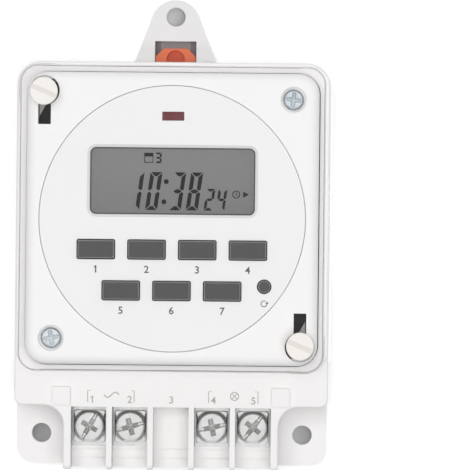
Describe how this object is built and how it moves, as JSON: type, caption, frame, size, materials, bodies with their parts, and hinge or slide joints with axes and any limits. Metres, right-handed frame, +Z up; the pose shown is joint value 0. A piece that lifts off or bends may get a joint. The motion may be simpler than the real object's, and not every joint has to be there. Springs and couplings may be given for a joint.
{
  "type": "weekly timer switch",
  "caption": "Digital timer switch for a mounting rail or wall, with a round dial face, a display and keys under a clear cover and a row of screw terminals at the foot.",
  "frame": {"origin": "middle of the rail channel, in the plane of the housing's back face", "axes": "+X to the right seen from the front, +Y towards the rail or wall behind, +Z up to the hanging tab; the front looks along -Y"},
  "size_m": [0.0798, 0.0533, 0.1172],
  "materials": {
    "white_plastic": "fine satin",
    "dial_plastic": "satin",
    "clear_plastic": "clear polycarbonate",
    "lock_plastic": "satin",
    "orange_plastic": "satin",
    "spring_steel": "drawn wire",
    "key_plastic": "satin silicone",
    "red_lens": "clear red",
    "lcd": "reflective grey",
    "holder_plastic": "moulded",
    "grey_rubber": "silicone",
    "board_green": "solder mask",
    "black_plastic": "moulded",
    "bright_metal": "bright",
    "varistor_blue": "epoxy",
    "can_black": "sleeved",
    "relay_blue": "moulded",
    "film_yellow": "boxed",
    "nickel_plate": "plated",
    "blue_zinc": "zinc plated"
  },
  "bodies": {
    "housing": {"base_housing": "white_plastic", "front_panel": "white_plastic", "dial_face": "dial_plastic", "led_lens": "red_lens", "key_mat": "grey_rubber", "lcd_glass": "lcd", "lcd_holder": "holder_plastic", "zebra_strip_upper": "grey_rubber", "zebra_strip_lower": "grey_rubber", "display_board": "board_green", "status_led": "red_lens", "controller_chip": "black_plastic", "backup_battery": "bright_metal", "quartz_crystal": "bright_metal", "power_board": "board_green", "varistor": "varistor_blue", "electrolytic_capacitor": "can_black", "board_link": "black_plastic", "relay": "relay_blue", "film_capacitor": "film_yellow", "terminal_plate_1": "nickel_plate", "terminal_plate_2": "nickel_plate", "terminal_plate_4": "nickel_plate", "terminal_plate_5": "nickel_plate", "panel_screw_upper": "blue_zinc", "panel_screw_lower": "blue_zinc", "display_screw_1": "blue_zinc", "display_screw_2": "blue_zinc", "display_screw_3": "blue_zinc", "display_screw_4": "blue_zinc", "power_screw_1": "blue_zinc", "power_screw_2": "blue_zinc", "latch_spring": "spring_steel"},
    "cover": {"clear_cover": "clear_plastic"},
    "lock_upper": {"cover_lock_upper": "lock_plastic"},
    "lock_lower": {"cover_lock_lower": "lock_plastic"},
    "latch": {"din_latch": "orange_plastic"},
    "key_1_body": {"key_1": "key_plastic"},
    "key_2_body": {"key_2": "key_plastic"},
    "key_3_body": {"key_3": "key_plastic"},
    "key_4_body": {"key_4": "key_plastic"},
    "key_5_body": {"key_5": "key_plastic"},
    "key_6_body": {"key_6": "key_plastic"},
    "key_7_body": {"key_7": "key_plastic"},
    "key_reset_body": {"key_reset": "key_plastic"},
    "clamp_1": {"clamp_washer_1": "nickel_plate"},
    "screw_1": {"terminal_screw_1": "nickel_plate"},
    "clamp_2": {"clamp_washer_2": "nickel_plate"},
    "screw_2": {"terminal_screw_2": "nickel_plate"},
    "clamp_4": {"clamp_washer_4": "nickel_plate"},
    "screw_4": {"terminal_screw_4": "nickel_plate"},
    "clamp_5": {"clamp_washer_5": "nickel_plate"},
    "screw_5": {"terminal_screw_5": "nickel_plate"}
  },
  "joints": [
    {"name": "cover_lift", "type": "slide", "parent": "housing", "child": "cover", "axis": [0, -1, 0], "range_m": [0, 0.06]},
    {"name": "lock_upper_turn", "type": "hinge", "parent": "cover", "child": "lock_upper", "pos_m": [-0.0315, -0.052, 0.0308], "axis": [0, -1, 0], "range_deg": [0, 90]},
    {"name": "lock_lower_turn", "type": "hinge", "parent": "cover", "child": "lock_lower", "pos_m": [0.0315, -0.052, -0.0308], "axis": [0, -1, 0], "range_deg": [0, 90]},
    {"name": "latch_pull", "type": "slide", "parent": "housing", "child": "latch", "axis": [0, 0, 1], "range_m": [0, 0.0045], "stiffness_N_per_m": 800, "springref_m": -0.004, "deforming": ["latch_spring"]},
    {"name": "key_1_press", "type": "slide", "parent": "housing", "child": "key_1_body", "axis": [0, 1, 0], "range_m": [0, 0.0008], "stiffness_N_per_m": 600, "springref_m": -0.001},
    {"name": "key_2_press", "type": "slide", "parent": "housing", "child": "key_2_body", "axis": [0, 1, 0], "range_m": [0, 0.0008], "stiffness_N_per_m": 600, "springref_m": -0.001},
    {"name": "key_3_press", "type": "slide", "parent": "housing", "child": "key_3_body", "axis": [0, 1, 0], "range_m": [0, 0.0008], "stiffness_N_per_m": 600, "springref_m": -0.001},
    {"name": "key_4_press", "type": "slide", "parent": "housing", "child": "key_4_body", "axis": [0, 1, 0], "range_m": [0, 0.0008], "stiffness_N_per_m": 600, "springref_m": -0.001},
    {"name": "key_5_press", "type": "slide", "parent": "housing", "child": "key_5_body", "axis": [0, 1, 0], "range_m": [0, 0.0008], "stiffness_N_per_m": 600, "springref_m": -0.001},
    {"name": "key_6_press", "type": "slide", "parent": "housing", "child": "key_6_body", "axis": [0, 1, 0], "range_m": [0, 0.0008], "stiffness_N_per_m": 600, "springref_m": -0.001},
    {"name": "key_7_press", "type": "slide", "parent": "housing", "child": "key_7_body", "axis": [0, 1, 0], "range_m": [0, 0.0008], "stiffness_N_per_m": 600, "springref_m": -0.001},
    {"name": "key_reset_press", "type": "slide", "parent": "housing", "child": "key_reset_body", "axis": [0, 1, 0], "range_m": [0, 0.0008], "stiffness_N_per_m": 600, "springref_m": -0.001},
    {"name": "clamp_1_rise", "type": "slide", "parent": "housing", "child": "clamp_1", "axis": [0, -1, 0], "range_m": [0, 0.0025]},
    {"name": "screw_1_turn", "type": "hinge", "parent": "clamp_1", "child": "screw_1", "pos_m": [-0.02032, -0.02, -0.0517], "axis": [0, -1, 0], "range_deg": [0, 1286]},
    {"name": "clamp_2_rise", "type": "slide", "parent": "housing", "child": "clamp_2", "axis": [0, -1, 0], "range_m": [0, 0.0025]},
    {"name": "screw_2_turn", "type": "hinge", "parent": "clamp_2", "child": "screw_2", "pos_m": [-0.01016, -0.02, -0.0517], "axis": [0, -1, 0], "range_deg": [0, 1286]},
    {"name": "clamp_4_rise", "type": "slide", "parent": "housing", "child": "clamp_4", "axis": [0, -1, 0], "range_m": [0, 0.0025]},
    {"name": "screw_4_turn", "type": "hinge", "parent": "clamp_4", "child": "screw_4", "pos_m": [0.01016, -0.02, -0.0517], "axis": [0, -1, 0], "range_deg": [0, 1286]},
    {"name": "clamp_5_rise", "type": "slide", "parent": "housing", "child": "clamp_5", "axis": [0, -1, 0], "range_m": [0, 0.0025]},
    {"name": "screw_5_turn", "type": "hinge", "parent": "clamp_5", "child": "screw_5", "pos_m": [0.02032, -0.02, -0.0517], "axis": [0, -1, 0], "range_deg": [0, 1286]}
  ],
  "couplings": [
    {"joint": "screw_1_turn", "follows": "clamp_1_rise", "rad_per_m": 8976},
    {"joint": "screw_2_turn", "follows": "clamp_2_rise", "rad_per_m": 8976},
    {"joint": "screw_4_turn", "follows": "clamp_4_rise", "rad_per_m": 8976},
    {"joint": "screw_5_turn", "follows": "clamp_5_rise", "rad_per_m": 8976}
  ]
}
